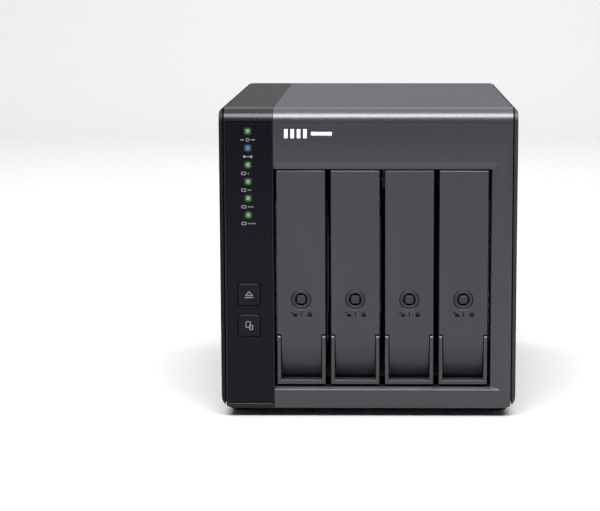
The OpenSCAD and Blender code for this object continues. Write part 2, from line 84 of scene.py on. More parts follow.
PATCHES = 28.0                     # slow tone changes in a metre
WEAR_FROM, WEAR_TO = 0.52, 0.60    # pointiness where the wear of an edge starts and is full
WORN = 1.9                         # how much lighter a worn edge is
LENS_GRAIN = 2500.0                # frosting of a lens, in grains a metre


def node(tree, kind, inputs=None, **settings):
    """Adds a shader node, sets its properties, then links or sets its inputs."""
    made = tree.nodes.new(kind)
    for key, value in settings.items():
        setattr(made, key, value)
    for key, value in (inputs or {}).items():
        if isinstance(value, bpy.types.NodeSocket):
            tree.links.new(value, made.inputs[key])
        else:
            made.inputs[key].default_value = value
    return made


def colors_of(sockets):
    """The colour sockets among a mix node's sockets, which share their names with others."""
    return [socket for socket in sockets if socket.type == "RGBA"]


def shade(color, factor):
    """A colour made darker or lighter, with its alpha."""
    return tuple(min(1.0, c * factor) for c in color[:3]) + (1.0,)


def surface(name, color, rough, metallic=0.0, grain=3500, bump=0.15, depth=0.00002, vary=0.08,
            spread=0.06, wear=0.0, brushed=None, **sockets):
    """A material with fine moulded or sprayed grain, slow tone changes, uneven gloss and worn edges.

    grain is the number of grains in a metre, depth the height of the grain in metres.
    brushed stretches the grain along an axis, as on brushed or drawn metal.
    """
    mat = bpy.data.materials.new(name)
    mat.use_nodes = True
    tree = mat.node_tree
    shader = tree.nodes["Principled BSDF"]
    shader.inputs["Metallic"].default_value = metallic
    for key, value in sockets.items():
        shader.inputs[key.replace("_", " ")].default_value = value
    place = node(tree, "ShaderNodeTexCoord").outputs["Object"]
    if brushed:
        place = node(tree, "ShaderNodeMapping", {"Vector": place, "Scale": brushed}).outputs[0]
    fine = node(tree, "ShaderNodeTexNoise", {"Vector": place, "Scale": grain, "Detail": 3.0})
    broad = node(tree, "ShaderNodeTexNoise", {"Vector": place, "Scale": PATCHES, "Detail": 4.0})
    speck = node(tree, "ShaderNodeTexNoise", {"Vector": place, "Scale": grain / 6, "Detail": 2.0})
    tone = node(tree, "ShaderNodeMix", {"Factor": broad.outputs["Fac"]}, data_type="RGBA")
    for socket, factor in zip(colors_of(tone.inputs), (1 - vary, 1 + vary)):
        socket.default_value = shade(color, factor)
    color_out = colors_of(tone.outputs)[0]
    if wear:
        edge = node(tree, "ShaderNodeNewGeometry").outputs["Pointiness"]
        mask = node(tree, "ShaderNodeMapRange", {"Value": edge, "From Min": WEAR_FROM, "From Max": WEAR_TO,
                                                 "To Min": 0.0, "To Max": wear})
        worn = node(tree, "ShaderNodeMix", {"Factor": mask.outputs[0]}, data_type="RGBA")
        plain, rubbed = colors_of(worn.inputs)
        tree.links.new(color_out, plain)
        rubbed.default_value = shade(color, WORN)
        color_out = colors_of(worn.outputs)[0]
    tree.links.new(color_out, shader.inputs["Base Color"])
    gloss = node(tree, "ShaderNodeMapRange",
                 {"Value": speck.outputs["Fac"], "From Min": 0.3, "From Max": 0.7,
                  "To Min": max(0.03, rough - spread), "To Max": rough + spread})
    tree.links.new(gloss.outputs[0], shader.inputs["Roughness"])
    raised = node(tree, "ShaderNodeBump",
                  {"Strength": bump, "Distance": depth, "Height": fine.outputs["Fac"]})
    tree.links.new(raised.outputs[0], shader.inputs["Normal"])
    return mat


def glow(name, color, strength, rim):
    """A lit, frosted lens: rim is the tone of its darkest grains as a part of the brightest."""
    mat = bpy.data.materials.new(name)
    mat.use_nodes = True
    tree = mat.node_tree
    shader = tree.nodes["Principled BSDF"]
    place = node(tree, "ShaderNodeTexCoord").outputs["Object"]
    frost = node(tree, "ShaderNodeTexNoise", {"Vector": place, "Scale": LENS_GRAIN, "Detail": 2.0})
    ramp = node(tree, "ShaderNodeValToRGB", {"Fac": frost.outputs["Fac"]})
    ramp.color_ramp.elements[0].color = shade(color, rim)
    ramp.color_ramp.elements[1].color = shade(color, 1.0)
    tree.links.new(ramp.outputs[0], shader.inputs["Base Color"])
    tree.links.new(ramp.outputs[0], shader.inputs["Emission Color"])
    shader.inputs["Emission Strength"].default_value = strength
    shader.inputs["Roughness"].default_value = 0.35
    return mat


GREY = (0.0108, 0.0112, 0.0148)
STEEL = dict(metallic=1.0, grain=500, brushed=(1, 0.05, 1))
PANEL = dict(rough=0.45, wear=0.3, bump=0.12)
COVER = dict(rough=0.42, wear=0.3, spread=0.05)
PRINT = dict(rough=0.5, bump=0.1, vary=0.04)
# Colour, and the settings of surface(). The slots of the record come first, then the prints.
SURFACES = {
    "bezel_grey": (GREY, dict(rough=0.32, wear=0.35, spread=0.03, Specular_IOR_Level=0.6)),
    "control_black": ((0.004, 0.004, 0.0055),
                      dict(rough=0.26, wear=0.25, spread=0.03, Specular_IOR_Level=0.22)),
    "window_black": ((0.0025, 0.0027, 0.004),
                     dict(rough=0.20, bump=0.04, spread=0.03, Specular_IOR_Level=0.09)),
    "top_grey": ((0.012, 0.0125, 0.015), dict(COVER, Specular_IOR_Level=0.075)),
    "strip_grey": ((0.005, 0.0052, 0.0062), dict(COVER, Specular_IOR_Level=0.018)),
    "left_panel_black": ((0.003, 0.003, 0.0042), dict(PANEL, Specular_IOR_Level=0.12)),
    "right_panel_grey": ((0.010, 0.0103, 0.0125), dict(PANEL, Specular_IOR_Level=0.3)),
    "base_grey": ((0.060, 0.062, 0.070), dict(rough=0.50, bump=0.3)),
    "rear_black": ((0.022, 0.022, 0.025), dict(rough=0.50, wear=0.3, bump=0.3)),
    "foot_rubber": ((0.018, 0.018, 0.018), dict(rough=0.85, grain=1500, bump=0.5, depth=0.00006)),
    "cage_steel": ((0.50, 0.50, 0.51), dict(STEEL, rough=0.35)),
    "guide_plastic": ((0.020, 0.020, 0.022), dict(rough=0.55, bump=0.3)),
    "board_green": ((0.010, 0.070, 0.032), dict(rough=0.35, grain=900, bump=0.2, vary=0.3)),
    "connector_black": ((0.012, 0.012, 0.014), dict(rough=0.45, bump=0.25)),
    "screw_steel": ((0.55, 0.55, 0.56), dict(rough=0.30, metallic=1.0, grain=2500, wear=0.3)),
    "emblem_white": ((0.62, 0.63, 0.66), dict(rough=0.35, bump=0.1, vary=0.03)),
    "button_black": ((0.003, 0.003, 0.0042),
                     dict(rough=0.22, bump=0.03, wear=0.4, spread=0.03, Specular_IOR_Level=0.10)),
    "switch_ivory": ((0.025, 0.025, 0.028), dict(rough=0.45, bump=0.2)),
    "slider_white": ((0.62, 0.62, 0.58), dict(rough=0.42, bump=0.2)),
    "port_metal": ((0.56, 0.56, 0.57), dict(rough=0.26, metallic=1.0, grain=1800)),
    "fan_black": ((0.014, 0.014, 0.016), dict(rough=0.42, bump=0.25, wear=0.2)),
    "tray_grey": (shade(GREY, 1.1), dict(rough=0.40, wear=0.35, spread=0.04, Specular_IOR_Level=0.5)),
    "handle_grey": (shade(GREY, 1.1), dict(rough=0.44, wear=0.35, spread=0.04, Specular_IOR_Level=0.6)),
    "carrier_steel": ((0.42, 0.42, 0.43), dict(STEEL, rough=0.38)),
    "lock_dark": (shade(GREY, 1.05), dict(rough=0.42, wear=0.2, Specular_IOR_Level=0.35)),
    "drive_aluminium": ((0.30, 0.30, 0.31),
                        dict(rough=0.40, metallic=1.0, grain=1400, bump=0.3, wear=0.2)),
    "print_grey": ((0.13, 0.13, 0.137), PRINT),
    "print_dark": ((0.0015, 0.0015, 0.0018), dict(PRINT, Specular_IOR_Level=0.08)),
}
# Colour, strength and rim: the two lenses, and the light that spills round them
GLOWS = {
    "light_green": ((0.078, 0.158, 0.060), 0.46, 0.75),
    "light_blue": ((0.045, 0.088, 0.165), 0.42, 0.7),
    "light_green_soft": ((0.003, 0.024, 0.003), 0.6, 0.8),
    "light_green_faint": ((0.003, 0.011, 0.003), 0.5, 0.8),
    "light_blue_soft": ((0.004, 0.016, 0.050), 0.6, 0.8),
    "light_blue_faint": ((0.003, 0.007, 0.020), 0.5, 0.8),
}
LOOKS = {name: surface(name, color, **settings) for name, (color, settings) in SURFACES.items()}
LOOKS.update({name: glow(name, *settings) for name, settings in GLOWS.items()})
SLOT_OF = {row["node"]: row["material_slot"] for row in RECORD["subparts"]}
BODY_OF = {name: body for body, names in RECORD["behaviour"]["bodies"].items() for name in names}


# ------------------------------------------------------------------ mesh tools

def object_from(name, bm, smooth_angle=SHARP):
    """Turns a bmesh into an object whose flat faces meet at sharp edges and whose curves are smooth."""
    bmesh.ops.remove_doubles(bm, verts=bm.verts, dist=1e-6)
    bmesh.ops.recalc_face_normals(bm, faces=bm.faces)
    for face in bm.faces:
        face.smooth = True
    limit = math.radians(smooth_angle)
    for edge in bm.edges:
        edge.smooth = len(edge.link_faces) != 2 or edge.calc_face_angle(0) <= limit
    mesh = bpy.data.meshes.new(name)
    bm.to_mesh(mesh)
    bm.free()
    obj = bpy.data.objects.new(name, mesh)
    bpy.context.scene.collection.objects.link(obj)
    return obj


def keep_flat(obj):
    """Lets the large faces set the shading, so that a flat face stays flat beside its rounded edge."""
    normals = obj.modifiers.new("normals", "WEIGHTED_NORMAL")
    normals.weight = 100
    normals.keep_sharp = True


def soften(obj, width, segments=3):
    """Rounds every sharp edge, and keeps the flat faces flat in the shading."""
    bevel = obj.modifiers.new("edges", "BEVEL")
    bevel.width = width
    bevel.segments = segments
    bevel.limit_method = "ANGLE"
    bevel.angle_limit = math.radians(SHARP)
    bevel.miter_outer = "MITER_ARC"
    bevel.use_clamp_overlap = False
    bevel.harden_normals = True
    keep_flat(obj)
    return obj


def dress(obj, slot, body, replaces=()):
    """Gives a piece its material and its body, and hides the CAD nodes that it stands for."""
    if not obj.modifiers:
        keep_flat(obj)
    obj.data.materials.clear()
    obj.data.materials.append(LOOKS[slot])
    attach(obj, body)
    if replaces:
        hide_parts(*replaces)
    return obj


FACET = 1.0              # degrees between facets that belong to one face
WELD = 2e-6              # distance below which a CAD node's points are one


def rework(name, width, segments=2, bore=None):
    """A CAD node's form with its facets merged into whole faces and its edges rounded.

    bore is a point on the axis along X and the radius of a hidden bore that is filled in.
    """
    bm = bmesh.new()
    bm.from_mesh(frame["nodes"][name].data)
    bmesh.ops.remove_doubles(bm, verts=bm.verts, dist=WELD)
    if bore:
        at, r = bore
        inside = [f for f in bm.faces if all((v.co - at).yz.length < r for v in f.verts)]
        bmesh.ops.delete(bm, geom=inside, context="FACES")
        bmesh.ops.holes_fill(bm, edges=[e for e in bm.edges if e.is_boundary], sides=0)
    bmesh.ops.dissolve_limit(bm, angle_limit=math.radians(FACET), verts=bm.verts, edges=bm.edges)
    piece = object_from(f"{name}_piece", bm)
    soften(piece, width, segments)
    return dress(piece, SLOT_OF[name], BODY_OF[name], [name])


# Ways that a flat piece can face: local u and v lie in the face, w points out of it
FACING = {
    "front": Matrix(((1, 0, 0), (0, 0, -1), (0, 1, 0))),
    "rear": Matrix(((-1, 0, 0), (0, 0, 1), (0, 1, 0))),
    "right": Matrix(((0, 0, 1), (1, 0, 0), (0, 1, 0))),
    "left": Matrix(((0, 0, -1), (-1, 0, 0), (0, 1, 0))),
    "up": Matrix(((1, 0, 0), (0, 1, 0), (0, 0, 1))),
    "down": Matrix(((1, 0, 0), (0, -1, 0), (0, 0, -1))),
}


def facing(way, origin):
    """The matrix that stands a flat piece on origin, looking the given way."""
    return Matrix.Translation(origin) @ FACING[way].to_4x4()


def circle(u, v, r, count=32):
    """Points on a circle; the first one lies on the u axis."""
    angles = [math.tau * k / count for k in range(count)]
    return [(u + r * math.cos(a), v + r * math.sin(a)) for a in angles]


def rounded(u, v, width, height, r, steps=4):
    """A rectangle with round corners, round its middle."""
    points = []
    for k, (su, sv) in enumerate(((1, 1), (-1, 1), (-1, -1), (1, -1))):
        for j in range(steps + 1):
            a = math.pi / 2 * (k + j / steps)
            centre_u, centre_v = u + su * (width / 2 - r), v + sv * (height / 2 - r)
            points.append((centre_u + r * math.cos(a), centre_v + r * math.sin(a)))
    return points


def band(u, v, r_out, r_in, start, end, steps=10):
    """An arc of even width, its angles in degrees."""
    angles = [math.radians(start + (end - start) * k / steps) for k in range(steps + 1)]
    outer = [(u + r_out * math.cos(a), v + r_out * math.sin(a)) for a in angles]
    return outer + [(u + r_in * math.cos(a), v + r_in * math.sin(a)) for a in reversed(angles)]


def cross(r, arm):
    """The outline of a cross recess."""
    half = arm / 2
    quarter = [(half, half), (half, r), (-half, r)]
    points = []
    for turn in range(4):
        for u, v in quarter:
            for _ in range(turn):
                u, v = -v, u
            points.append((u, v))
    return points


def slab(bm, place, outline, low, high, hole=None):
    """Raises an outline from w = low to w = high; a hole has as many points as the outline."""
    def ring(points, w):
        return [bm.verts.new(place @ Vector((u, v, w))) for u, v in points]

    rings = [[ring(points, w) for w in (low, high)] for points in ([outline, hole] if hole else [outline])]
    count = len(outline)
    for k in range(count):
        j = (k + 1) % count
        for lower, upper in rings:
            bm.faces.new((lower[k], lower[j], upper[j], upper[k]))
        if hole:
            for side in (0, 1):
                bm.faces.new((rings[0][side][k], rings[0][side][j], rings[1][side][j], rings[1][side][k]))
    if not hole:
        for side in (0, 1):
            bm.faces.new(rings[0][side])


def lathe(bm, place, profile, count=64):
    """Turns a profile of (radius, w) points round the w axis; it starts and ends on the axis."""
    rings = []
    for r, w in profile:
        if r == 0:
            rings.append([bm.verts.new(place @ Vector((0, 0, w)))])
        else:
            rings.append([bm.verts.new(place @ Vector((u, v, w))) for u, v in circle(0, 0, r, count)])
    for one, two in zip(rings, rings[1:]):
        for k in range(count):
            j = (k + 1) % count
            corners = [one[k % len(one)], one[j % len(one)], two[j % len(two)], two[k % len(two)]]
            bm.faces.new(list(dict.fromkeys(corners)))


def arc_profile(r, w, size, start, end, steps=5):
    """Points of a quarter round on a lathe profile, angles in degrees."""
    angles = [math.radians(start + (end - start) * k / steps) for k in range(steps + 1)]
    return [(r + size * math.cos(a), w + size * math.sin(a)) for a in angles]


def torus(bm, place, radius, wire, count=96, sides=12):
    """A ring of round wire lying in the face."""
    rings = []
    for k in range(count):
        a = math.tau * k / count
        section = [(radius + out, w) for out, w in circle(0, 0, wire, sides)]
        rings.append([bm.verts.new(place @ Vector((r * math.cos(a), r * math.sin(a), w)))
                      for r, w in section])
    for k in range(count):
        one, two = rings[k], rings[(k + 1) % count]
        for m in range(sides):
            n = (m + 1) % sides
            bm.faces.new((one[m], one[n], two[n], two[m]))


def cut_plate(bm, place, outlines, thick, edge=0.0, resolution=2):
    """A plate of an even thickness: the first outline is its rim and the rest are holes."""
    curve = bpy.data.curves.new("outline", "CURVE")
    curve.dimensions = "2D"
    curve.fill_mode = "BOTH"
    curve.extrude = thick / 2 - edge
    curve.bevel_depth = edge
    curve.bevel_resolution = resolution
    curve.offset = -edge
    for outline in outlines:
        spline = curve.splines.new("POLY")
        spline.points.add(len(outline) - 1)
        for point, (u, v) in zip(spline.points, outline):
            point.co = (u, v, 0, 1)
        spline.use_cyclic_u = True
    holder = bpy.data.objects.new("outline", curve)
    bpy.context.scene.collection.objects.link(holder)
    graph = bpy.context.evaluated_depsgraph_get()
    mesh = bpy.data.meshes.new_from_object(holder.evaluated_get(graph))
    mesh.transform(place @ Matrix.Translation((0, 0, thick / 2)))
    bm.from_mesh(mesh)
    bpy.data.objects.remove(holder)
    bpy.data.curves.remove(curve)
    bpy.data.meshes.remove(mesh)


# ------------------------------------------------------------------ sizes read from the frame

JOINT_AT = {row["name"]: Vector(row["pos_m"]) for row in RECORD["behaviour"]["joints"] if "pos_m" in row}


def middle(name):
    """The middle of a node's box."""
    low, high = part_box(name)
    return (Vector(low) + Vector(high)) / 2


def corners(name, margin):
    """The four points that lie margin inside the corners of a node's box, seen along Y."""
    low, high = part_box(name)
    return [(x, z) for x in (low[0] + margin, high[0] - margin)
            for z in (low[2] + margin, high[2] - margin)]


# ------------------------------------------------------------------ control strip

WINDOW_LOW, WINDOW_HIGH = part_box("control_window")
WINDOW_Y = WINDOW_LOW[1]
PIPES_LOW, PIPES_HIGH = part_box("green_light_pipes")
LIGHT_X = middle("green_light_pipes").x
LIGHT = PIPES_HIGH[0] - PIPES_LOW[0]
LIGHTS = 6
LIGHT_STEP = (PIPES_HIGH[2] - PIPES_LOW[2] - LIGHT) / (LIGHTS - 1)
LIGHT_Z = [PIPES_LOW[2] + LIGHT / 2 + LIGHT_STEP * k for k in range(LIGHTS)]
BLUE = min(range(LIGHTS), key=lambda k: abs(LIGHT_Z[k] - middle("blue_light_pipe").z))
BUTTONS = {"eject_button": middle("eject_button"), "copy_button": middle("copy_button")}
MARK = 0.05 * MM         # height of a printed mark
LIGHT_HOLE = LIGHT + 0.1 * MM
LIGHT_HOLE_R = 0.4 * MM
BUTTON_GAP = 0.3 * MM


def window_plate():
    """The glossy plate, with a hole for each light and button."""
    width, height = WINDOW_HIGH[0] - WINDOW_LOW[0], WINDOW_HIGH[2] - WINDOW_LOW[2]
    centre = middle("control_window")
    outlines = [rounded(centre.x, centre.z, width, height, 0.8 * MM)]
    outlines += [rounded(LIGHT_X, z, LIGHT_HOLE, LIGHT_HOLE, LIGHT_HOLE_R) for z in LIGHT_Z]
    for name, at in BUTTONS.items():
        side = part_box(name)[1][0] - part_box(name)[0][0] + 2 * BUTTON_GAP
        outlines.append(rounded(at.x, at.z, side, side, 1.7 * MM, 6))
    bm = bmesh.new()
    thick = WINDOW_HIGH[1] - WINDOW_Y
    cut_plate(bm, facing("front", (0, WINDOW_HIGH[1], 0)), outlines, thick, 0.15 * MM)
    dress(object_from("control_window_piece", bm), "window_black", "enclosure", ["control_window"])


# Side and corner radius of the squares that bound the light spilt round a lens
OUTER_SPILL = (4.1 * MM, 1.3 * MM)
INNER_SPILL = (3.1 * MM, 0.9 * MM)


def light_pipes():
    """Square lenses with rounded faces, each on its light pipe, and the light spilt round them."""
    depth = PIPES_HIGH[1] - PIPES_LOW[1]
    for name, slot, chosen in (("green_light_pipes", "light_green", [k for k in range(LIGHTS) if k != BLUE]),
                               ("blue_light_pipe", "light_blue", [BLUE])):
        bm = bmesh.new()
        for k in chosen:
            place = facing("front", (LIGHT_X, PIPES_HIGH[1], LIGHT_Z[k]))
            slab(bm, place, rounded(0, 0, LIGHT, LIGHT, 0.35 * MM), 0, depth)
        dress(soften(object_from(f"{name}_piece", bm), 0.2 * MM), slot, "enclosure", [name])
        for part, tone, outer, inner in (("outer_spill", "faint", OUTER_SPILL, INNER_SPILL),
                                         ("inner_spill", "soft", INNER_SPILL, (LIGHT_HOLE, LIGHT_HOLE_R))):
            bm = bmesh.new()
            for k in chosen:
                place = facing("front", (LIGHT_X, WINDOW_Y, LIGHT_Z[k]))
                slab(bm, place, rounded(0, 0, outer[0], outer[0], outer[1]), -MARK, MARK / 2,
                     rounded(0, 0, inner[0], inner[0], inner[1]))
            ring = dress(object_from(f"{name}_{part}", bm), slot, "enclosure")
            ring.data.materials[0] = LOOKS[f"{slot}_{tone}"]


def print_mark(bm, place, outline, hole=None):
    """A printed shape, sunk as deep as it stands out."""
    slab(bm, place, outline, -MARK, MARK, hole)


STATUS_DROP = 4.6 * MM   # from the middle of a light down to its mark


def status_marks():
    """Plain pictures under the lights: a ring, a link, and a drive with one to four pips."""
    bm = bmesh.new()
    for k, z in enumerate(LIGHT_Z):
        place = facing("front", (LIGHT_X, WINDOW_Y, z - STATUS_DROP))
        if k == LIGHTS - 1:
            print_mark(bm, place, circle(0, 0, 0.95 * MM, 24), circle(0, 0, 0.6 * MM, 24))
            for side in (-1, 1):
                print_mark(bm, place, rounded(side * 2.9 * MM, 0, 2.2 * MM, 0.45 * MM, 0.2 * MM))
        elif k == BLUE:
            for side in (-1, 1):
                print_mark(bm, place, rounded(side * 1.8 * MM, 0, 1.3 * MM, 1.3 * MM, 0.35 * MM))
            print_mark(bm, place, rounded(0, 0, 2.1 * MM, 0.4 * MM, 0.15 * MM))
        else:
            print_mark(bm, place, rounded(-2.3 * MM, 0, 2.6 * MM, 1.7 * MM, 0.35 * MM),
                       rounded(-2.3 * MM, 0, 1.9 * MM, 1.0 * MM, 0.2 * MM))
            for pip in range(len(BAYS) - k):
                print_mark(bm, place, circle((0.2 + 1.1 * pip) * MM, 0, 0.36 * MM, 16))
    piece = dress(object_from("status_marks", bm), "slider_white", "enclosure")
    piece.data.materials[0] = LOOKS["print_grey"]


def button_marks():
    """An eject sign on one button, and two overlapping sheets on the other."""
    for name, at in BUTTONS.items():
        place = facing("front", (at.x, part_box(name)[0][1], at.z))
        bm = bmesh.new()
        if name == "eject_button":
            tip, base, half = 2.0 * MM, -0.6 * MM, 2.3 * MM
            inner_tip, inner_base, inner_half = tip - 0.65 * MM, base + 0.45 * MM, 0.62 * half
            print_mark(bm, place, [(half, base), (0, tip), (-half, base)],
                       [(inner_half, inner_base), (0, inner_tip), (-inner_half, inner_base)])
            print_mark(bm, place, rounded(0, -1.55 * MM, 4.6 * MM, 0.5 * MM, 0.15 * MM))
        else:
            print_mark(bm, place, rounded(-0.6 * MM, 0.6 * MM, 2.8 * MM, 3.6 * MM, 0.7 * MM),
                       rounded(-0.6 * MM, 0.6 * MM, 2.0 * MM, 2.8 * MM, 0.45 * MM))
            over = place @ Matrix.Translation((0, 0, MARK / 5))
            print_mark(bm, over, rounded(1.0 * MM, -1.0 * MM, 2.2 * MM, 2.8 * MM, 0.6 * MM),
                       rounded(1.0 * MM, -1.0 * MM, 1.3 * MM, 1.9 * MM, 0.35 * MM))
        piece = dress(object_from(f"{name}_mark", bm), "slider_white", BODY_OF[name])
        piece.data.materials[0] = LOOKS["print_grey"]


# ------------------------------------------------------------------ trays

def lock_piece(i):
    """A round key lock: a rim with rounded edges, a ring-shaped keyway and a rounded square post."""
    name = f"tray_lock_{i}"
    low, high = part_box(name)
    centre = JOINT_AT[f"lock_{i}_turn"]
    cam = 1.5 * MM                              # thickness of the cam
    length = high[1] - low[1] - cam
    rim, well, post = 5.25 * MM, 3.45 * MM, 4.5 * MM
    floor = length - 4.8 * MM                   # bottom of the keyway
    outside, inside = 0.7 * MM, 0.35 * MM       # rounding of the rim's two edges
    place = facing("front", (centre.x, low[1] + length, centre.z))
    profile = [(0, 0), (rim - 0.2 * MM, 0), (rim, 0.2 * MM)]
    profile += arc_profile(rim - outside, length - outside, outside, 0, 90)
    profile += arc_profile(well + inside, length - inside, inside, 90, 180)
    profile += [(well, floor), (0, floor)]
    bm = bmesh.new()
    lathe(bm, place, profile)
    dress(object_from(f"{name}_rim", bm), "lock_dark", f"lock_{i}", [name])
    bm = bmesh.new()
    slab(bm, place, rounded(0, 0, post, post, 1.35 * MM, 6), floor, length - 0.1 * MM)
    dress(soften(object_from(f"{name}_post", bm), 0.35 * MM), "lock_dark", f"lock_{i}")
    bm = bmesh.new()
    above, below = high[2] - centre.z, 2.5 * MM
    slab(bm, place, rounded(0, (above - below) / 2, 2 * below, above + below, 2.4 * MM, 6), -cam, 0)
    dress(soften(object_from(f"{name}_cam", bm), 0.2 * MM, 2), "lock_dark", f"lock_{i}")


LOCK_MARK_DROP = 7.9 * MM    # from the middle of a lock down to its marks


def tray_marks(i):
    """Open padlock, mark and closed padlock, printed under the lock."""
    centre = JOINT_AT[f"lock_{i}_turn"]
    bm = bmesh.new()
    place = facing("front", (centre.x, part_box(f"tray_front_{i}")[0][1], centre.z - LOCK_MARK_DROP))
    # place and width of each body, and how far its shackle is swung aside
    for side, wide, swing in ((-3.3, 2.3, -1.5), (4.6, 2.4, 0.0)):
        u = side * MM
        print_mark(bm, place, rounded(u, -0.65 * MM, wide * MM, 1.5 * MM, 0.3 * MM))
        print_mark(bm, place, band(u + swing * MM, 0.1 * MM, 1.0 * MM, 0.62 * MM, 0, 180))
    print_mark(bm, place, rounded(0.05 * MM, 0, 0.55 * MM, 2.6 * MM, 0.2 * MM))
    piece = dress(object_from(f"tray_marks_{i}", bm), "connector_black", f"tray_{i}")
    piece.data.materials[0] = LOOKS["print_dark"]


def screw_heads(name, heads, r, height, body, slot="screw_steel"):
    """Domed heads with cross recesses, each on its own place."""
    bm = bmesh.new()
    for place in heads:
        cut_plate(bm, place, [circle(0, 0, r, 28), cross(0.62 * r, 0.30 * r)], height, 0.30 * height)
        slab(bm, place, circle(0, 0, 0.9 * r, 20), 0, 0.35 * height)
    dress(object_from(name, bm), slot, body)


BOARD_SCREW_IN = 5 * MM      # from the edge of a drive's board to its screws
LID_SCREW_IN = 5 * MM        # from the edge of a drive's lid to its screws
# Place of each chip, then its width and height, all as parts of the board
CHIPS = ((-0.30, 0.22, 0.13, 0.20), (-0.30, -0.20, 0.10, 0.16), (0.34, 0.25, 0.09, 0.22),
         (0.36, -0.12, 0.07, 0.10), (-0.10, -0.33, 0.12, 0.09), (0.16, 0.36, 0.10, 0.08))


def drive_board(i):
    """The circuit board on the left of the drive, with its chips, its screws and the motor's plate."""
    low, high = (Vector(corner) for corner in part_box(f"drive_{i}"))
    body = f"tray_{i}"
    board_x = low.x + 3 * MM
    y_mid, z_mid = (low.y + high.y) / 2 - 2 * MM, (low.z + high.z) / 2
    wide, tall = high.y - low.y - 17 * MM, high.z - low.z - 13 * MM
    place = facing("left", (board_x, y_mid, z_mid))
    screws = [(su * (wide / 2 - BOARD_SCREW_IN), sv * (tall / 2 - BOARD_SCREW_IN))
              for su in (-1, 1) for sv in (-1, 1)]
    motor_u, motor_v = 0.04 * wide, 0.02 * tall
    bm = bmesh.new()
    holes = [circle(u, v, 2.6 * MM, 20) for u, v in screws]
    holes.append(circle(motor_u, motor_v, 0.2 * tall, 40))
    cut_plate(bm, place, [rounded(0, 0, wide, tall, 3 * MM)] + holes, 0.5 * MM, 0.1 * MM)
    dress(object_from(f"drive_board_{i}", bm), "board_green", body)
    bm = bmesh.new()
    for u, v, w, h in CHIPS:
        slab(bm, place, rounded(u * wide, v * tall, w * wide, h * tall, 0.4 * MM, 2), 0.4 * MM, 1.6 * MM)
    dress(soften(object_from(f"drive_chips_{i}", bm), 0.12 * MM, 2), "connector_black", body)
    bm = bmesh.new()
    plate, edge, dish = 0.185 * tall, 0.7 * MM, 1.0 * MM
    profile = [(0, 0), (plate, 0), (plate, 0.6 * MM)]
    profile += arc_profile(0.165 * tall, edge, edge, 0, 90)
    profile += [(0.05 * tall, 2 * edge), (0.04 * tall, dish), (0, dish)]
    lathe(bm, facing("left", (board_x, y_mid - motor_u, z_mid + motor_v)), profile)
    dress(object_from(f"drive_motor_{i}", bm), "drive_aluminium", body)
    screw_heads(f"drive_board_screws_{i}", [place @ Matrix.Translation((u, v, 0)) for u, v in screws],
                2.2 * MM, 0.9 * MM, body)


def drive_lid(i):
    """The lid on the right of the drive, with its raised rim, its blank label and its screws."""
    low, high = (Vector(corner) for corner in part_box(f"drive_{i}"))
    body = f"tray_{i}"
    wide, tall = high.y - low.y - 12 * MM, high.z - low.z - 12 * MM
    place = facing("right", (high.x, (low.y + high.y) / 2, (low.z + high.z) / 2))
    pivot_u = -0.16 * wide
    bm = bmesh.new()
    cut_plate(bm, place, [rounded(0, 0, wide, tall, 6 * MM, 8), circle(pivot_u, 0, 6 * MM, 32),
                          circle(0.36 * wide, -0.3 * tall, 4 * MM, 28)], 0.5 * MM, 0.2 * MM)
    rim_out = rounded(0.02 * wide, 0, 0.84 * wide, 0.84 * tall, 14 * MM, 10)
    rim_in = rounded(0.02 * wide, 0, 0.80 * wide, 0.79 * tall, 12.5 * MM, 10)
    cut_plate(bm, place, [rim_out, rim_in], 0.9 * MM, 0.2 * MM)
    dress(object_from(f"drive_lid_{i}", bm), "drive_aluminium", body)
    bm = bmesh.new()
    cut_plate(bm, place, [rounded(0.03 * wide, 0.05 * tall, 0.46 * wide, 0.62 * tall, 2 * MM),
                          circle(pivot_u, 0, 7.5 * MM, 32)], 0.62 * MM)
    dress(object_from(f"drive_label_{i}", bm), "slider_white", body)
    screws = [(su * (wide / 2 - LID_SCREW_IN), sv * (tall / 2 - LID_SCREW_IN))
              for su in (-1, 0, 1) for sv in (-1, 1)]
    screw_heads(f"drive_lid_screws_{i}",
                [place @ Matrix.Translation((u, v, 0.3 * MM)) for u, v in screws],
                2.4 * MM, 1.0 * MM, body, "connector_black")


# ------------------------------------------------------------------ fan

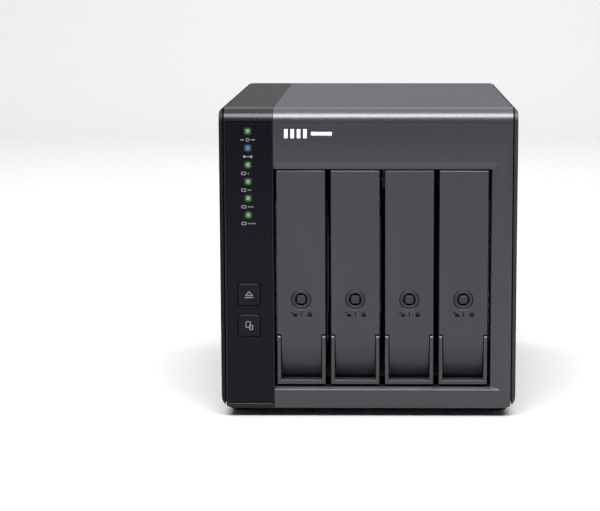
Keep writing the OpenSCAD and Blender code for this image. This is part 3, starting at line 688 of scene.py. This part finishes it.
def fan_rotor():
    """A hub with swept blades that grow wider and flatter towards their tips."""
    low, high = (Vector(corner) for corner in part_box("fan_rotor"))
    centre = JOINT_AT["fan_spin"]
    reach = (high.x - low.x) / 2 - 0.2 * MM
    depth = high.y - low.y
    place = facing("rear", (centre.x, low.y, centre.z))
    hub, edge = 20 * MM, 1.5 * MM
    root = hub - 0.8 * MM                       # the blades start inside the hub
    bm = bmesh.new()
    profile = [(0, 0.4 * MM), (hub * 0.55, 0.4 * MM), (hub * 0.6, 0), (hub - edge, 0)]
    profile += arc_profile(hub - edge, edge, edge, -90, 0)
    profile += arc_profile(hub - edge, depth - edge, edge, 0, 90)
    profile += [(hub * 0.72, depth), (hub * 0.70, depth - 0.8 * MM), (0, depth - 0.8 * MM)]
    lathe(bm, place, profile)
    blades, spans, chords = 7, 10, 8
    for blade in range(blades):
        faces = []
        for side in (-1, 1):
            grid = []
            for j in range(spans + 1):
                s = j / spans
                r = root + (reach - root) * s
                pitch = math.radians(46 - 15 * s)
                chord = (21 + 13 * s) * MM
                row = []
                for m in range(chords + 1):
                    t = -1 + 2 * m / chords
                    thick = side * (0.25 + 0.65 * math.sqrt(max(0.0, 1 - t * t))) * MM
                    along, out = t * chord / 2, 1.6 * MM * (1 - t * t) + thick
                    tangent = along * math.cos(pitch) - out * math.sin(pitch)
                    axial = depth / 2 - 0.8 * MM + along * math.sin(pitch) + out * math.cos(pitch)
                    a = math.tau * blade / blades + tangent / r + 0.32 * s * s
                    row.append(bm.verts.new(place @ Vector((r * math.cos(a), r * math.sin(a), axial))))
                grid.append(row)
            faces.append(grid)
        under, over = faces
        for j in range(spans):
            for m in range(chords):
                bm.faces.new((under[j][m], under[j][m + 1], under[j + 1][m + 1], under[j + 1][m]))
                bm.faces.new((over[j][m], over[j + 1][m], over[j + 1][m + 1], over[j][m + 1]))
            for m in (0, chords):
                bm.faces.new((under[j][m], under[j + 1][m], over[j + 1][m], over[j][m]))
        for j in (0, spans):
            for m in range(chords):
                bm.faces.new((under[j][m], under[j][m + 1], over[j][m + 1], over[j][m]))
    dress(object_from("fan_rotor_piece", bm, 40), "fan_black", "fan_rotor", ["fan_rotor"])


FAN_SCREW_R = 3.6 * MM
PANEL_SCREW_R = 2.8 * MM


def fan_guard():
    """Five rings of round wire on four wire spokes, with an eye at each screw."""
    low, high = (Vector(corner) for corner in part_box("fan_guard"))
    centre = JOINT_AT["fan_spin"]
    wire, eye_r, inner, step = 0.9 * MM, 3.9 * MM, 9 * MM, 12 * MM
    eyes = corners("fan_screws", FAN_SCREW_R)
    hole = math.hypot(eyes[-1][0] - centre.x, eyes[-1][1] - centre.z)
    place = facing("rear", (centre.x, low.y + wire, centre.z))
    bm = bmesh.new()
    for k in range(5):
        torus(bm, place, inner + step * k, wire)
    for turn in (45, 135, 225, 315):
        a = math.radians(turn)
        spoke = place @ Matrix.Rotation(a, 4, "Z") @ Matrix.Rotation(math.radians(90), 4, "Y")
        slab(bm, spoke, circle(0, 0, wire, 12), inner, hole - eye_r + 0.1 * MM)
        eye = place @ Matrix.Rotation(a, 4, "Z") @ Matrix.Translation((hole, 0, 0))
        torus(bm, eye, eye_r, wire, 40)
    dress(object_from("fan_guard_piece", bm), "rear_black", "enclosure", ["fan_guard"])


def rear_screws():
    """Heads with cross recesses over the plain shanks of the panel and the fan."""
    for name, r, height in (("panel_screws", PANEL_SCREW_R, 1.6 * MM), ("fan_screws", FAN_SCREW_R, 1.5 * MM)):
        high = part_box(name)[1]
        screw_heads(f"{name}_heads", [facing("rear", (x, high[1] - height, z)) for x, z in corners(name, r)],
                    r, height, "enclosure")
        bm = bmesh.new()
        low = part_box(name)[0]
        for x, z in corners(name, r):
            slab(bm, facing("rear", (x, low[1], z)), circle(0, 0, 0.52 * r, 20), 0, high[1] - height - low[1])
        dress(object_from(f"{name}_shanks", bm), "screw_steel", "enclosure", [name])


# ------------------------------------------------------------------ pieces

# Radius of the rounded edges, in millimetres, where it isn't the usual one
ROUND = {"feet": 0.7, "tray_handle": 0.3, "tray_front": 0.35, "top_cover": 0.3, "top_strip": 0.3,
         "eject_button": 0.45, "copy_button": 0.45, "rear_power_button": 0.5, "drive": 0.4}
USUAL_ROUND = 0.22
HANDLE_BORE_R = 1.3 * MM     # everything this near a handle's pivot belongs to its bore
# Nodes that have a function of their own above
OWN = {"control_window", "green_light_pipes", "blue_light_pipe", "fan_rotor", "fan_guard", "panel_screws",
       "fan_screws"} | {f"tray_lock_{i}" for i in BAYS}
for name in frame["nodes"]:
    if name not in OWN:
        kind = name.rstrip("_1234")
        if kind == "tray_handle":
            pivot = JOINT_AT[f"handle_{name[-1]}_swing"]
            rework(name, ROUND[kind] * MM, 4, bore=(pivot, HANDLE_BORE_R))
        else:
            rework(name, ROUND.get(kind, USUAL_ROUND) * MM)
window_plate()
light_pipes()
status_marks()
button_marks()
for i in BAYS:
    lock_piece(i)
    tray_marks(i)
    drive_board(i)
    drive_lid(i)
fan_rotor()
fan_guard()
rear_screws()


# ------------------------------------------------------------------ scene

FLOOR_FRONT, FLOOR_BACK = -4.0, 1.6    # ends of the level floor along Y
FLOOR_HALF = 5.0
BACKDROP_BEND, BACKDROP_TOP = 0.6, 5.0


def stage():
    """A pale floor that runs up into a backdrop."""
    bm = bmesh.new()
    profile = [(FLOOR_FRONT, 0.0), (FLOOR_BACK, 0.0)]
    profile += [(FLOOR_BACK + BACKDROP_BEND * math.sin(a), BACKDROP_BEND - BACKDROP_BEND * math.cos(a))
                for a in (math.radians(6 * k) for k in range(1, 16))]
    profile += [(FLOOR_BACK + BACKDROP_BEND, BACKDROP_TOP)]
    rows = [[bm.verts.new((x, y, z)) for y, z in profile] for x in (-FLOOR_HALF, FLOOR_HALF)]
    for k in range(len(profile) - 1):
        bm.faces.new((rows[0][k], rows[1][k], rows[1][k + 1], rows[0][k + 1]))
    floor = object_from("floor", bm)
    mat = surface("floor", (0.38, 0.38, 0.384), 0.8, grain=400, bump=0.03, vary=0.01)
    floor.data.materials.append(mat)


def area_light(name, place, target, size, power, mirrored=True):
    """A rectangle of light; mirrored says whether it shows in reflections."""
    data = bpy.data.lights.new(name, "AREA")
    data.shape = "RECTANGLE"
    data.size, data.size_y = size
    data.energy = power
    light = bpy.data.objects.new(name, data)
    light.location = place
    light.rotation_euler = (Vector(target) - Vector(place)).to_track_quat("-Z", "Y").to_euler()
    light.visible_glossy = mirrored
    bpy.context.scene.collection.objects.link(light)


def world(strength):
    """An even, slightly cool light from everywhere."""
    sky = bpy.data.worlds.new("studio")
    sky.use_nodes = True
    sky.node_tree.nodes["Background"].inputs["Color"].default_value = (0.95, 0.97, 1.0, 1.0)
    sky.node_tree.nodes["Background"].inputs["Strength"].default_value = strength
    bpy.context.scene.world = sky


CAMERA_RIGHT = 8.2 * MM      # of the enclosure's middle
CAMERA_ABOVE = 0.075         # over the top
CAMERA_AWAY = 1.014          # from the front
TARGET_RAISED = 2.4 * MM     # above the middle of the front
LENS = 114.2                 # mm, on a sensor 36 mm wide
SHIFT_X = -0.114             # puts the enclosure right of the middle, as in the photo


def camera():
    """The photo's view of the front, a little from above."""
    place = Vector((CAMERA_RIGHT, FRONT_Y - CAMERA_AWAY, TOP_Z + CAMERA_ABOVE))
    target = Vector((0.0, FRONT_Y, (UNDERSIDE_Z + TOP_Z) / 2 + TARGET_RAISED))
    data = bpy.data.cameras.new("camera")
    data.sensor_width = 36.0
    data.lens = LENS
    data.shift_x = SHIFT_X
    obj = bpy.data.objects.new("camera", data)
    obj.location = place
    obj.rotation_euler = (target - place).to_track_quat("-Z", "Y").to_euler()
    bpy.context.scene.collection.objects.link(obj)
    bpy.context.scene.camera = obj


bpy.context.scene.view_settings.view_transform = "Standard"
stage()
world(0.14)
area_light("key_strip", (0.0, FRONT_Y - 0.70, TOP_Z + 1.02), (0, FRONT_Y, TOP_Z), (1.6, 0.60), 62)
area_light("overhead", (0.0, FRONT_Y - 0.16, TOP_Z + 1.2), (0, FRONT_Y - 0.1, TOP_Z), (1.4, 0.8), 3)
area_light("backdrop_light", (0.0, 0.8, 2.4), (0, 2.2, 0.4), (3.5, 0.5), 120, mirrored=False)
area_light("roof", (0.0, FRONT_Y + 0.65, TOP_Z + 1.2), (0, FRONT_Y + 0.65, TOP_Z), (1.6, 1.5), 10)
camera()
